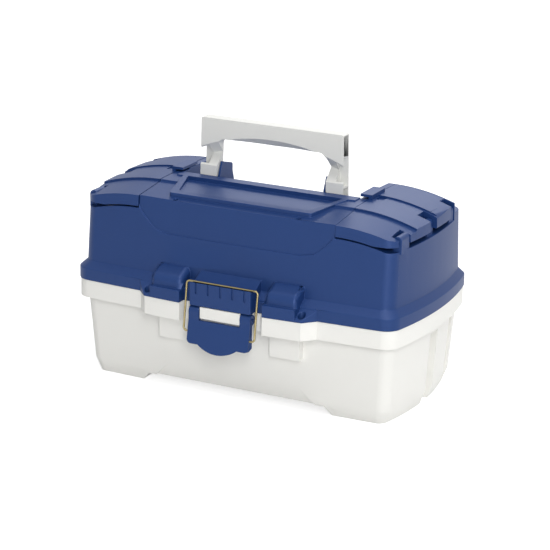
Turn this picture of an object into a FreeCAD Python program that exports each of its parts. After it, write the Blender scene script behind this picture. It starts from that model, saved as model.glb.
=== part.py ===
"""Two-tray tackle cabinet: a drafted tub, a deep lid with two topside bins, a folding handle,
a front draw latch and two cantilever trays that rise as the lid opens.

Built about the middle of the tub: x runs along the cabinet, y from the front (negative) to the
rear, z up from the feet. Every piece is then moved in y so that the whole is centred."""
import FreeCAD, Part
import math
import os
import Sketcher
from types import SimpleNamespace
from FreeCAD import Placement, Rotation, Vector

os.makedirs("parts", exist_ok=True)
doc = FreeCAD.newDocument("tackle_cabinet")

# Driving dimensions, in millimetres; names that end in share or shares are plain ratios. A formula ties
# a size to the ones before it, so that the pieces keep together when one of those changes.
SIZES = [
    # lid flange and the tub rim that it closes on
    ("flange_half_length", 181.0), ("flange_front", -99.9), ("flange_rear", 92.0), ("flange_front_bow", 7.0),
    ("flange_end_bow", 12.4), ("flange_corner", 17.0), ("flange_foot", 99.05), ("flange_height", 11.75),
    ("flange_top", "flange_foot + flange_height"), ("rim_gap", 0.3), ("rim_height", 17.75), ("rim_inset", 0.7),
    ("wall", 2.5), ("overrun", 20.0),
    # tub, set in from the flange on every side
    ("tub_end_inset", 12.7), ("tub_front_inset", 16.9), ("tub_rear_inset", 14.0),
    ("tub_half_length", "flange_half_length - tub_end_inset"), ("tub_front", "flange_front + tub_front_inset"),
    ("tub_rear", "flange_rear - tub_rear_inset"), ("tub_front_bow", 3.4), ("tub_end_bow", 9.9),
    ("tub_corner", 13.0), ("tub_flare", 6.5), ("tub_foot_chamfer", 4.0), ("tub_foot_chamfer_height", 14.0),
    ("foot_length", 64.5), ("arch_half_width", "tub_half_length - foot_length"), ("arch_height", 8.6),
    ("arch_slope", 7.9), ("scoop_top", 30.0), ("scoop_depth", 5.0), ("groove_drop", 26.05),
    ("groove_top", "flange_foot - groove_drop"), ("groove_depth", 8.5), ("groove_front_setback", 76.5),
    ("groove_front_y", "tub_rear - groove_front_setback"), ("groove_front_width", 18.0),
    ("groove_rear_setback", 26.0), ("groove_rear_y", "tub_rear - groove_rear_setback"),
    ("groove_rear_width", 12.0), ("catch_half", 32.7), ("bay_gap", 11.7),
    ("pedestal_inner", "catch_half + bay_gap"), ("pedestal_width", 31.6),
    ("pedestal_outer", "pedestal_inner + pedestal_width"), ("pedestal_drop", 44.05),
    ("pedestal_foot", "flange_foot - pedestal_drop"), ("pedestal_setback", 5.3),
    ("pedestal_front", "flange_front + pedestal_setback"),
    # front bulge shared by flange and rim, with its two padlock lugs
    ("bulge_nose_half_width", 84.7), ("bulge_side_run", 10.7),
    ("bulge_half_width", "bulge_nose_half_width + bulge_side_run"), ("bulge_side_setback", 1.4),
    ("bulge_side", "flange_front + bulge_side_setback"), ("bulge_reach", 10.2),
    ("bulge_nose_side", "flange_front - bulge_reach"), ("bulge_bow", 3.3),
    ("bulge_nose", "bulge_nose_side - bulge_bow"), ("bulge_depth", 24.1),
    ("lug_face_drop", 1.3),
    ("bulge_back", "bulge_nose_side + bulge_depth"), ("lug_face_top", "flange_top - lug_face_drop"),
    ("lug_face_height", 8.5), ("lug_inset", 2.1),
    ("lug_x", "bulge_nose_half_width - lug_inset"), ("lug_setback", 5.5),
    ("lug_y", "bulge_nose_side + lug_setback"), ("lug_hole_radius", 3.7), ("boss_setback", 2.6),
    ("boss_side_front", "bulge_nose_side + boss_setback"), ("boss_height", 21.95),
    ("boss_side_top", "flange_foot + boss_height"), ("boss_slope_height", 7.5),
    ("boss_side_root", "boss_side_top + boss_slope_height"), ("boss_slope_depth", 15.5),
    ("boss_side_root_front", "boss_side_front + boss_slope_depth"), ("boss_to_lug", 4.6),
    ("boss_side_outer", "lug_x - boss_to_lug"), ("boss_side_round", 4.0),
    # lid walls
    ("lid_end_inset", 6.5), ("lid_half_length", "flange_half_length - lid_end_inset"), ("lid_front_inset", 8.5),
    ("lid_front", "flange_front + lid_front_inset"), ("lid_rear_inset", 6.0),
    ("lid_rear", "flange_rear - lid_rear_inset"), ("lid_front_bow", 5.5), ("lid_end_bow", 11.0),
    ("lid_corner", 14.0), ("shelf_rise", 6.2), ("lid_foot", "flange_top + shelf_rise"), ("lid_end_draft", 3.9),
    ("lid_top_half_length", "lid_half_length - lid_end_draft"), ("lid_front_draft", 7.4),
    ("lid_top_front", "lid_front + lid_front_draft"), ("lid_rear_draft", 4.0),
    ("lid_top_rear", "lid_rear - lid_rear_draft"), ("lid_top_front_bow", 4.5), ("lid_top_end_bow", 8.0),
    ("lid_top_corner", 12.0), ("lid_height", 90.35), ("terrace_edge_z", "flange_foot + lid_height"),
    ("lid_spare", 13.6), ("lid_top", "terrace_edge_z + lid_spare"),
    # terraced roof, its crown towards the ends, and the low deck behind it
    ("door_space_inner", 104.9), ("crown_lead", 0.7), ("crown_start", "door_space_inner + crown_lead"),
    ("crown_spare", 10.0), ("crown_reach", "lid_top_half_length - crown_start + crown_spare"), ("crown_drop", 15.6), ("terrace_edge_setback", 1.4),
    ("terrace_edge_y", "lid_front + terrace_edge_setback"), ("tread_one_depth", 48.0),
    ("terrace_one_y", "terrace_edge_y + tread_one_depth"), ("tread_one_rise", 5.6),
    ("terrace_one_z", "terrace_edge_z + tread_one_rise"), ("riser_one", 2.0),
    ("terrace_two_front_z", "terrace_one_z + riser_one"), ("tread_two_depth", 46.0),
    ("terrace_two_y", "terrace_one_y + tread_two_depth"), ("tread_two_rise", 1.0),
    ("terrace_two_z", "terrace_two_front_z + tread_two_rise"), ("riser_two", 1.5),
    ("terrace_three_z", "terrace_two_z + riser_two"), ("tread_three_depth", 50.5),
    ("roof_fall_y", "terrace_two_y + tread_three_depth"), ("tread_three_fall", 1.6),
    ("roof_fall_z", "terrace_three_z - tread_three_fall"), ("roof_fall_run", 4.0),
    ("roof_rear_y", "roof_fall_y + roof_fall_run"), ("rear_deck_drop", 12.4),
    ("rear_deck", "terrace_edge_z - rear_deck_drop"), ("roof_skin", 2.8), ("ceiling", "terrace_edge_z - roof_skin"),
    ("panel_height", 36.0), ("panel_drop", 32.4), ("panel_foot", "terrace_edge_z - panel_drop"),
    ("panel_depth", 1.3),
    # centre platform, crest, dimples and handle pocket
    ("door_shoulder", 7.9), ("pocket_half_width", "door_space_inner - door_shoulder"), ("pan_end_inset", 21.0),
    ("pan_half_width", "pocket_half_width - pan_end_inset"), ("pan_setback", 14.5),
    ("pan_front", "terrace_edge_y + pan_setback"), ("pan_depth", 52.0), ("pan_rear", "pan_front + pan_depth"),
    ("platform_rise", 6.1), ("platform_top", "terrace_edge_z + platform_rise"), ("pan_sink", 1.2),
    ("pan_floor", "platform_top - pan_sink"), ("pan_spread", 14.0), ("pan_end_rim", 6.0), ("pan_front_rim", 8.5),
    ("platform_corner", 4.0), ("crest_rise", 9.4),
    ("crest_top", "terrace_edge_z + crest_rise"), ("crest_depth", 12.5),
    ("pocket_front", "pan_rear + crest_depth"), ("dimple_inset", 10.0), ("dimple_x", "pan_half_width - dimple_inset"),
    ("dimple_setback", 10.0), ("dimple_y", "terrace_edge_y + dimple_setback"), ("dimple_radius", 2.4),
    ("dimple_depth", 1.4), ("pocket_depth", 23.9), ("pocket_floor", "terrace_edge_z - pocket_depth"),
    # topside bins and the decks under their doors
    ("deck_drop", 11.6), ("deck", "terrace_edge_z - deck_drop"), ("ledge_drop", 7.3),
    ("ledge", "deck - ledge_drop"), ("door_space_wall", 1.9),
    ("door_space_rear", "roof_fall_y - door_space_wall"), ("bin_inner_step", 2.5),
    ("bin_inner", "door_space_inner + bin_inner_step"), ("door_axis_inset", 7.3),
    ("door_axis_x", "lid_top_half_length - door_axis_inset"), ("bin_outer_step", 11.8),
    ("bin_outer", "door_axis_x - bin_outer_step"), ("bin_front_step", 7.0),
    ("bin_front", "lid_top_front + bin_front_step"), ("bin_rear_step", 5.1),
    ("bin_rear", "door_space_rear - bin_rear_step"), ("bin_depth", 25.8), ("bin_floor", "deck - bin_depth"),
    ("bin_wall", 2.2), ("bin_round", 3.0),
    # bin doors and their hinges
    ("door_gap", 0.6), ("door_lift", 1.7), ("door_end_lift", 5.0), ("door_end_foot", "ledge + door_end_lift"),
    ("door_skin", 2.4), ("door_skirt", 2.8), ("door_axis_lift", 10.0), ("door_axis_z", "ledge + door_axis_lift"),
    ("door_end_reach", 9.3), ("knuckle_radius", 4.3), ("knuckle_gap", 0.4), ("knuckle_one_setback", 18.0),
    ("knuckle_one_front", "terrace_edge_y + knuckle_one_setback"), ("knuckle_one_width", 18.0),
    ("knuckle_one_rear", "knuckle_one_front + knuckle_one_width"), ("knuckle_two_setback", 29.0),
    ("knuckle_two_front", "terrace_one_y + knuckle_two_setback"), ("knuckle_two_width", 14.0),
    ("knuckle_two_rear", "knuckle_two_front + knuckle_two_width"), ("knuckle_three_setback", 37.0),
    ("knuckle_three_front", "terrace_two_y + knuckle_three_setback"), ("knuckle_three_width", 10.0),
    ("knuckle_three_rear", "knuckle_three_front + knuckle_three_width"), ("notch_reach", 6.2),
    ("door_pin_radius", 1.3), ("door_pin_setback", 1.0), ("tab_width", 12.0),
    ("tab_root", "pocket_half_width + tab_width"), ("tab_depth", 30.0), ("tab_rear", "pocket_front + tab_depth"),
    ("tab_lift", 0.4), ("tab_foot", "terrace_three_z + tab_lift"), ("tab_thick", 2.6),
    ("tab_top", "tab_foot + tab_thick"), ("finger_step", 5.6), ("finger_inner", "door_space_inner + finger_step"),
    ("finger_width", 8.0), ("finger_setback", 5.0), ("finger_front", "pocket_front + finger_setback"),
    ("finger_length", 9.5), ("finger_depth", 1.5),
    # lid hinge at the rear
    ("hinge_setback", 5.0), ("hinge_y", "flange_rear + hinge_setback"), ("hinge_lift", 4.95),
    ("hinge_z", "flange_foot + hinge_lift"), ("hinge_radius", 4.5), ("hinge_x", 120.0), ("hinge_lid_width", 16.0),
    ("hinge_base_width", 12.0), ("hinge_side_gap", 0.4), ("hinge_pin_radius", 1.6), ("hinge_drop", 13.05),
    ("hinge_foot", "flange_foot - hinge_drop"), ("hinge_web", 3.6),
    # fits
    ("running_fit", 0.05), ("seat_fit", 0.02),
    # handle and the two lugs that it turns on
    ("handle_axis_setback", 7.7), ("handle_axis_y", "pocket_front + handle_axis_setback"),
    ("handle_axis_drop", 3.4), ("handle_axis_z", "terrace_edge_z - handle_axis_drop"), ("handle_half_thick", 6.6),
    ("handle_height", 70.6), ("handle_top", "handle_axis_z + handle_height"), ("handle_foot_half", 78.0),
    ("handle_taper", 1.2), ("handle_top_half", "handle_foot_half - handle_taper"), ("leg_width", 18.0),
    ("handle_inner_foot", "handle_foot_half - leg_width"), ("handle_inner_taper", 1.4),
    ("handle_inner_half", "handle_inner_foot - handle_inner_taper"), ("grip_depth", 19.6),
    ("grip_underside", "handle_top - grip_depth"), ("grip_bow", 1.6), ("handle_inner_round", 8.0),
    ("handle_outer_round", 1.6), ("channel_depth", 9.0), ("channel_half", 5.0), ("channel_foot_lift", 6.5),
    ("channel_foot", "handle_axis_z + channel_foot_lift"), ("channel_roof", 1.6),
    ("channel_top", "handle_top - channel_roof"), ("channel_rib", 1.4), ("channel_rib_lift", 17.4),
    ("channel_rib_low", "handle_axis_z + channel_rib_lift"), ("channel_rib_drop", 22.6),
    ("channel_rib_high", "handle_top - channel_rib_drop"), ("handle_pin_radius", 2.5), ("handle_pin_bite", 12.0),
    ("handle_pin_outer", "handle_inner_foot + handle_pin_bite"), ("handle_lug_gap", 1.2),
    ("handle_lug_outer", "handle_inner_foot - handle_lug_gap"), ("handle_lug_thick", 2.4),
    ("handle_lug_inner", "handle_lug_outer - handle_lug_thick"), ("handle_pin_stand", 0.6),
    ("handle_pin_inner", "handle_lug_inner - handle_pin_stand"), ("handle_lug_reach", 5.7),
    ("handle_lug_back", 21.6), ("handle_lug_heel", 4.2), ("handle_lug_height", 26.5), ("handle_lug_fall", 5.4),
    ("handle_lug_shoulder", 13.2), ("handle_lug_chamfer", 1.6), ("scallop_half", 46.0), ("scallop_depth", 3.8),
    ("scallop_radius", "(scallop_half * scallop_half + scallop_depth * scallop_depth) / (2 * scallop_depth)"),
    ("scallop_length", 40.0), ("slant_share", 0.7071),
    # draw latch: catch on the lid, lever on the tub, wire bail between them
    ("catch_setback", 0.9), ("catch_front", "bulge_nose + catch_setback"), ("catch_lip", 1.9),
    ("catch_height", 22.55), ("catch_top", "flange_foot + catch_height"), ("catch_lip_height", 1.4),
    ("catch_seat", "catch_top - catch_lip_height"), ("catch_seat_depth", 9.0),
    ("catch_seat_rear", "catch_front + catch_seat_depth"), ("catch_root_rise", 5.4),
    ("catch_root", "catch_top + catch_root_rise"), ("catch_root_depth", 21.5),
    ("catch_root_front", "catch_front + catch_root_depth"), ("catch_groove", 2.0), ("catch_groove_depth", 1.6),
    ("catch_groove_pitch", 13.0), ("catch_groove_lift", 3.95),
    ("catch_groove_foot", "flange_foot + catch_groove_lift"), ("bay_reach", 2.7),
    ("bay_back", "flange_front - bay_reach"), ("latch_axis_setback", 4.9),
    ("latch_axis_y", "bulge_nose + latch_axis_setback"), ("latch_axis_drop", 6.05),
    ("latch_axis_z", "flange_foot - latch_axis_drop"), ("latch_ear_radius", 5.2), ("latch_pin_radius", 1.5),
    ("lever_overlap", 0.3), ("lever_half", "catch_half + lever_overlap"), ("latch_pin_setback", 1.5),
    ("latch_pin_half", "lever_half - latch_pin_setback"), ("lever_ear_width", 11.0),
    ("lever_window_half", "lever_half - lever_ear_width"), ("latch_boss_gap", 0.6),
    ("latch_boss_half", "lever_window_half - latch_boss_gap"), ("latch_boss_reach", 4.1),
    ("latch_boss_front", "latch_axis_y - latch_boss_reach"), ("latch_boss_drop", 5.8),
    ("latch_boss_foot", "latch_axis_z - latch_boss_drop"), ("latch_boss_rise", 5.4),
    ("latch_boss_top", "latch_axis_z + latch_boss_rise"), ("lever_window_drop", 7.8),
    ("lever_window_foot", "latch_axis_z - lever_window_drop"), ("lever_thick", 2.6), ("lever_top_reach", 5.2),
    ("lever_top_y", "latch_axis_y - lever_top_reach"), ("lever_foot_reach", 9.5),
    ("lever_foot_y", "latch_axis_y - lever_foot_reach"), ("lever_length", 30.5),
    ("lever_foot", "latch_axis_z - lever_length"), ("lever_side", 2.6), ("lever_side_reach", 0.5),
    ("lever_side_back", "latch_axis_y - lever_side_reach"), ("tongue_inset", 12.0),
    ("tongue_half", "lever_half - tongue_inset"), ("tongue_length", 7.0),
    ("tongue_tip", "lever_foot - tongue_length"), ("tongue_reach", 10.9),
    ("tongue_radius", "(tongue_half * tongue_half + tongue_length * tongue_length) / (2 * tongue_length)"),
    ("tongue_tip_y", "latch_axis_y - tongue_reach"), ("bail_wire_radius", 1.0), ("bail_overlap", 5.0),
    ("bail_half", "lever_half + bail_overlap"), ("bail_foot_reach", 5.7),
    ("bail_foot_y", "latch_axis_y - bail_foot_reach"), ("bail_foot_drop", 19.5),
    ("bail_foot_z", "latch_axis_z - bail_foot_drop"), ("bail_bar_setback", 4.9),
    ("bail_bar_y", "catch_front + bail_bar_setback"), ("bail_bar_lift", 1.4),
    ("bail_bar_z", "catch_seat + bail_bar_lift"), ("bail_bend_radius", 3.0), ("bail_hook_bite", 4.0),
    ("bail_hook_inner", "lever_half - bail_hook_bite"),
    # cantilever trays and their arms
    ("tray_end_inset", 31.0), ("tray_half_length", "flange_half_length - tray_end_inset"), ("tray_side_gap", 0.5),
    ("tray_setback", 5.0), ("tray_front", "tub_front + tray_setback"), ("tray_depth", 120.0),
    ("tray_rear", "tray_front + tray_depth"), ("tray_height", 31.0), ("tray_wall", 1.8), ("tray_floor", 1.8),
    ("tray_front_row", 60.0), ("tray_aisle", "tray_front + tray_front_row"), ("divider_thick", 1.2),
    ("divider_drop", 2.0), ("divider_gap", 0.3), ("arm_drop", 12.0), ("arm_level", "hinge_z - arm_drop"),
    ("lower_tray_drop", 32.0), ("lower_tray_foot", "arm_level - lower_tray_drop"), ("upper_tray_lift", 5.0),
    ("upper_tray_foot", "arm_level + upper_tray_lift"), ("arm_half_width", 4.5),
    ("arm_thick", 2.5), ("arm_plane_gap", 1.0), ("ear_reach", 3.6), ("ear_outer", "tray_half_length + ear_reach"),
    ("ear_gap", 0.9), ("arm_inner_face", "ear_outer + ear_gap"), ("arm_rear_lead", 30.0),
    ("arm_rear_y", "tray_rear + arm_rear_lead"), ("arm_spacing", 56.0),
    ("arm_front_y", "arm_rear_y - arm_spacing"), ("arm_end_setback", 4.0),
    ("arm_length", "arm_front_y - arm_end_setback - tray_front"), ("arm_pin_radius", 2.5), ("rivet_head_radius", 3.8),
    ("rivet_head", 0.6), ("arm_side_gap", 0.3), ("ear_half", 5.0), ("lower_ear_rise", 4.4),
    ("lower_ear_top", "arm_level + lower_ear_rise"), ("lower_ear_drop", 12.0),
    ("lower_ear_foot", "arm_level - lower_ear_drop"), ("upper_ear_drop", 4.6),
    ("upper_ear_foot", "arm_level - upper_ear_drop"), ("upper_ear_rise", 16.0),
    ("upper_ear_top", "arm_level + upper_ear_rise"), ("arm_boss_radius", 5.5), ("link_half", 5.0),
    ("link_gap", 7.7), ("link_inner", "arm_inner_face + link_gap"), ("link_slack", 0.35), ("link_bite", 4.8),
    ("link_pin_end", "link_inner + link_bite"),
]
sheet = doc.addObject("Spreadsheet::Sheet", "sizes")
for row, (alias, value) in enumerate(SIZES, start=1):
    sheet.set("A%d" % row, alias)
    sheet.setAlias("B%d" % row, alias)
    sheet.set("B%d" % row, "=" + value if isinstance(value, str) else str(value))
doc.recompute()
v = SimpleNamespace(**{alias: float(sheet.get(alias)) for alias, value in SIZES})

# The cabinet reaches from the tip of the latch tongue to the back of the lid hinge.
rim_top = v.flange_foot - v.rim_gap
rim_foot = rim_top - v.rim_height
depth_shift = -(v.tongue_tip_y + v.hinge_y + v.hinge_radius) / 2
SHIFT = "-(sizes.tongue_tip_y + sizes.hinge_y + sizes.hinge_radius) / 2"
RIGHT_AND_LEFT = (1, -1)
across = Vector(1, 0, 0)
depthwise = Vector(0, 1, 0)
upward = Vector(0, 0, 1)
origin = Vector(0, 0, 0)
nodes = []


def keep(name, shape):
    """A sub-part whose shape is worked out in code; it is moved to its place after its shape is set."""
    piece = doc.addObject("Part::Feature", name)
    piece.Label = name
    piece.Shape = shape
    piece.Placement = Placement(Vector(0, depth_shift, 0), Rotation())
    nodes.append(piece)


def keep_object(piece, name):
    """A sub-part made of the document's own features, moved to its place by its bound placement."""
    piece.Label = name
    piece.setExpression("Placement.Base.y", SHIFT)
    nodes.append(piece)


def block(x_from, x_to, y_from, y_to, z_from, z_to):
    corner = Vector(min(x_from, x_to), y_from, z_from)
    return Part.makeBox(abs(x_to - x_from), y_to - y_from, z_to - z_from, corner)


def mirrored(shape):
    return shape.mirror(origin, across)


def both_sides(shape):
    return [shape, mirrored(shape)]


def bowed_outline(half_length, front, rear, front_bow, end_bow, corner, height):
    """Rectangle with bowed sides and rounded corners, as eight arcs. A side's bow is its rise in the middle."""
    middle = (front + rear) / 2
    half_depth = (rear - front) / 2
    long_radius = (half_length ** 2 + front_bow ** 2) / (2 * front_bow)
    end_radius = (half_depth ** 2 + end_bow ** 2) / (2 * end_bow)
    long_centre = Vector(0, long_radius - half_depth, 0)
    end_centre = Vector(half_length - end_radius, 0, 0)
    long_reach = long_radius - corner
    end_reach = end_radius - corner
    between = end_centre - long_centre
    along = (long_reach ** 2 - end_reach ** 2 + between.Length ** 2) / (2 * between.Length)
    beside = math.sqrt(long_reach ** 2 - along ** 2)
    unit = Vector(between).normalize()
    centre = long_centre + unit * along + Vector(-unit.y, unit.x, 0) * beside
    if centre.x < 0 or centre.y > 0:
        centre = long_centre + unit * along - Vector(-unit.y, unit.x, 0) * beside
    front_way = (centre - long_centre).normalize()
    end_way = (centre - end_centre).normalize()
    front_end = long_centre + front_way * long_radius
    side_end = end_centre + end_way * end_radius
    corner_top = centre + (front_way + end_way).normalize() * corner

    def place(point, side, face):
        return Vector(side * point.x, middle + face * point.y, height)

    front_middle = Vector(0, -half_depth, 0)
    end_middle = Vector(half_length, 0, 0)
    edges = []
    for start, through, end, side, face in (
        (front_end, corner_top, side_end, 1, 1),
        (side_end, corner_top, front_end, 1, -1),
        (front_end, corner_top, side_end, -1, -1),
        (side_end, corner_top, front_end, -1, 1),
    ):
        edges.append(Part.Arc(place(start, side, face), place(through, side, face), place(end, side, face)).toShape())
    ends = Part.Arc(place(side_end, 1, 1), place(end_middle, 1, 1), place(side_end, 1, -1)).toShape()
    rear_side = Part.Arc(place(front_end, 1, -1), place(front_middle, 1, -1), place(front_end, -1, -1)).toShape()
    far_end = Part.Arc(place(side_end, -1, -1), place(end_middle, -1, 1), place(side_end, -1, 1)).toShape()
    front_side = Part.Arc(place(front_end, -1, 1), place(front_middle, 1, 1), place(front_end, 1, 1)).toShape()
    return Part.Wire([front_side, edges[0], ends, edges[1], rear_side, edges[2], far_end, edges[3]])


def tapered(lower, upper):
    return Part.makeLoft([lower, upper], True, True)


def upright(outline, height):
    return Part.Face(outline).extrude(Vector(0, 0, height))


def prism(points, way):
    """Solid swept straight along way from a closed outline of corner points."""
    return Part.Face(Part.makePolygon(points + [points[0]])).extrude(way)


def rod(start, way, length, radius):
    return Part.makeCylinder(radius, length, start, way)


def flange_outline(inset, height):
    return bowed_outline(
        v.flange_half_length - inset, v.flange_front + inset, v.flange_rear - inset,
        v.flange_front_bow, v.flange_end_bow, v.flange_corner - inset, height)


def tub_outline(inset, height):
    flare = v.tub_flare * height / rim_top
    return bowed_outline(
        v.tub_half_length + flare - inset, v.tub_front - flare + inset, v.tub_rear + flare - inset,
        v.tub_front_bow, v.tub_end_bow, v.tub_corner - inset, height)


def lid_outline(inset, height):
    """Lid wall's outline, which draws in steadily from its foot to its top."""
    share = (height - v.lid_foot) / (v.lid_top - v.lid_foot)

    def between(foot, top):
        return foot + (top - foot) * share

    return bowed_outline(
        between(v.lid_half_length, v.lid_top_half_length) - inset, between(v.lid_front, v.lid_top_front) + inset,
        between(v.lid_rear, v.lid_top_rear) - inset, between(v.lid_front_bow, v.lid_top_front_bow),
        between(v.lid_end_bow, v.lid_top_end_bow), between(v.lid_corner, v.lid_top_corner) - inset, height)


def bulge(inset, foot, top):
    """The part of the flange or rim that steps forward round the latch, with slanted ends."""
    edge = [Vector(side * (v.bulge_half_width - inset), v.bulge_side + inset, foot) for side in (-1, 1)]
    nose = [Vector(side * (v.bulge_nose_half_width - inset), v.bulge_nose_side + inset, foot) for side in (-1, 1)]
    back = [Vector(side * (v.bulge_half_width - inset), v.bulge_back, foot) for side in (-1, 1)]
    front = Part.Arc(nose[0], Vector(0, v.bulge_nose + inset, foot), nose[1]).toShape()
    rest = Part.makePolygon([nose[1], edge[1], back[1], back[0], edge[0], nose[0]])
    return Part.Face(Part.Wire([front] + rest.Edges)).extrude(Vector(0, 0, top - foot))


def lug_holes(foot, top):
    holes = rod(Vector(v.lug_x, v.lug_y, foot), upward, top - foot, v.lug_hole_radius)
    return both_sides(holes)


def crowned(level, y_from, y_to, rise):
    """Solid under a roof that is flat in the middle and falls in an arc to each end. It starts at the
    given level and rises along y."""
    end = v.crown_start + v.crown_reach
    half_reach = v.crown_start + v.crown_reach / 2
    foot = rim_foot

    def at(x, z):
        return Vector(x, y_from, z)

    def fall(side):
        start = at(side * v.crown_start, level)
        through = at(side * half_reach, level - v.crown_drop / 4)
        return Part.Arc(start, through, at(side * end, level - v.crown_drop)).toShape()

    left = fall(-1)
    right = fall(1)
    flat = Part.makeLine(at(-v.crown_start, level), at(v.crown_start, level))
    below = Part.makePolygon([at(end, level - v.crown_drop), at(end, foot), at(-end, foot),
                              at(-end, level - v.crown_drop)])
    face = Part.Face(Part.Wire(Part.__sortEdges__([left, flat, right] + below.Edges)))
    return face.extrude(Vector(0, y_to - y_from, rise))


def roof():
    """Everything under the terraced top: three treads that step up to the rear, a steep fall behind
    them and the low rear deck."""
    treads = [
        (v.terrace_edge_z, v.terrace_edge_y, v.terrace_one_y, v.terrace_one_z - v.terrace_edge_z),
        (v.terrace_two_front_z, v.terrace_one_y, v.terrace_two_y, v.terrace_two_z - v.terrace_two_front_z),
        (v.terrace_three_z, v.terrace_two_y, v.roof_fall_y, v.roof_fall_z - v.terrace_three_z),
        (v.roof_fall_z, v.roof_fall_y, v.roof_rear_y, v.rear_deck - v.roof_fall_z),
    ]
    solids = [crowned(*tread) for tread in treads]
    solids.append(block(-v.flange_half_length, v.flange_half_length, v.roof_fall_y, v.flange_rear, rim_foot,
                        v.rear_deck))
    return solids[0].fuse(solids[1:])


def deck_profile(inner, level, end_level, y_from, y_to):
    """Solid over the right-hand deck: its underside follows the crown, then runs level to the end."""
    reach = v.crown_reach * math.sqrt((level - end_level) / v.crown_drop)
    end = v.crown_start + reach
    through = Vector(v.crown_start + reach / 2, y_from, level - (level - end_level) / 4)
    underside = Part.Arc(Vector(v.crown_start, y_from, level), through, Vector(end, y_from, end_level)).toShape()
    far = v.lid_half_length + v.overrun
    high = v.lid_top + v.overrun
    rest = Part.makePolygon([
        Vector(end, y_from, end_level), Vector(far, y_from, end_level), Vector(far, y_from, high),
        Vector(inner, y_from, high), Vector(inner, y_from, level), Vector(v.crown_start, y_from, level)])
    return Part.Face(Part.Wire([underside] + rest.Edges)).extrude(Vector(0, y_to - y_from, 0))


front_limit = v.flange_front - v.overrun
lid_walls = tapered(lid_outline(0, v.lid_foot), lid_outline(0, v.lid_top))
lid_roof = roof()
lid_block = lid_walls.common(lid_roof)
door_knuckles = [
    (v.knuckle_one_front, v.knuckle_one_rear),
    (v.knuckle_two_front, v.knuckle_two_rear),
    (v.knuckle_three_front, v.knuckle_three_rear),
]


def hinge_side(centre_x, width, side):
    """Start and end in x of a hinge knuckle on one side."""
    return sorted((side * (centre_x - width / 2), side * (centre_x + width / 2)))


def lid_hinge_bores():
    start = v.hinge_x - v.hinge_lid_width / 2 - v.hinge_base_width - v.overrun
    length = v.hinge_lid_width + 2 * v.hinge_base_width + 2 * v.overrun
    return start, length


def scoop(depth):
    """Wedge that thins the front between the feet towards its lower edge, with its ends drawn in as it
    rises. It is sunk by the given depth."""
    low = v.arch_half_width - v.arch_slope
    high = low - v.scoop_top
    face = v.tub_front - v.tub_flare * v.scoop_top / rim_top + depth
    wedge = prism([Vector(-low, front_limit, 0), Vector(-low, face + v.tub_foot_chamfer + v.scoop_depth, 0),
                   Vector(-low, face, v.scoop_top), Vector(-low, front_limit, v.scoop_top)], Vector(2 * low, 0, 0))
    spread = prism([Vector(-low, front_limit, 0), Vector(low, front_limit, 0), Vector(high, front_limit, v.scoop_top),
                    Vector(-high, front_limit, v.scoop_top)], Vector(0, -front_limit, 0))
    return wedge.common(spread)


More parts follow.
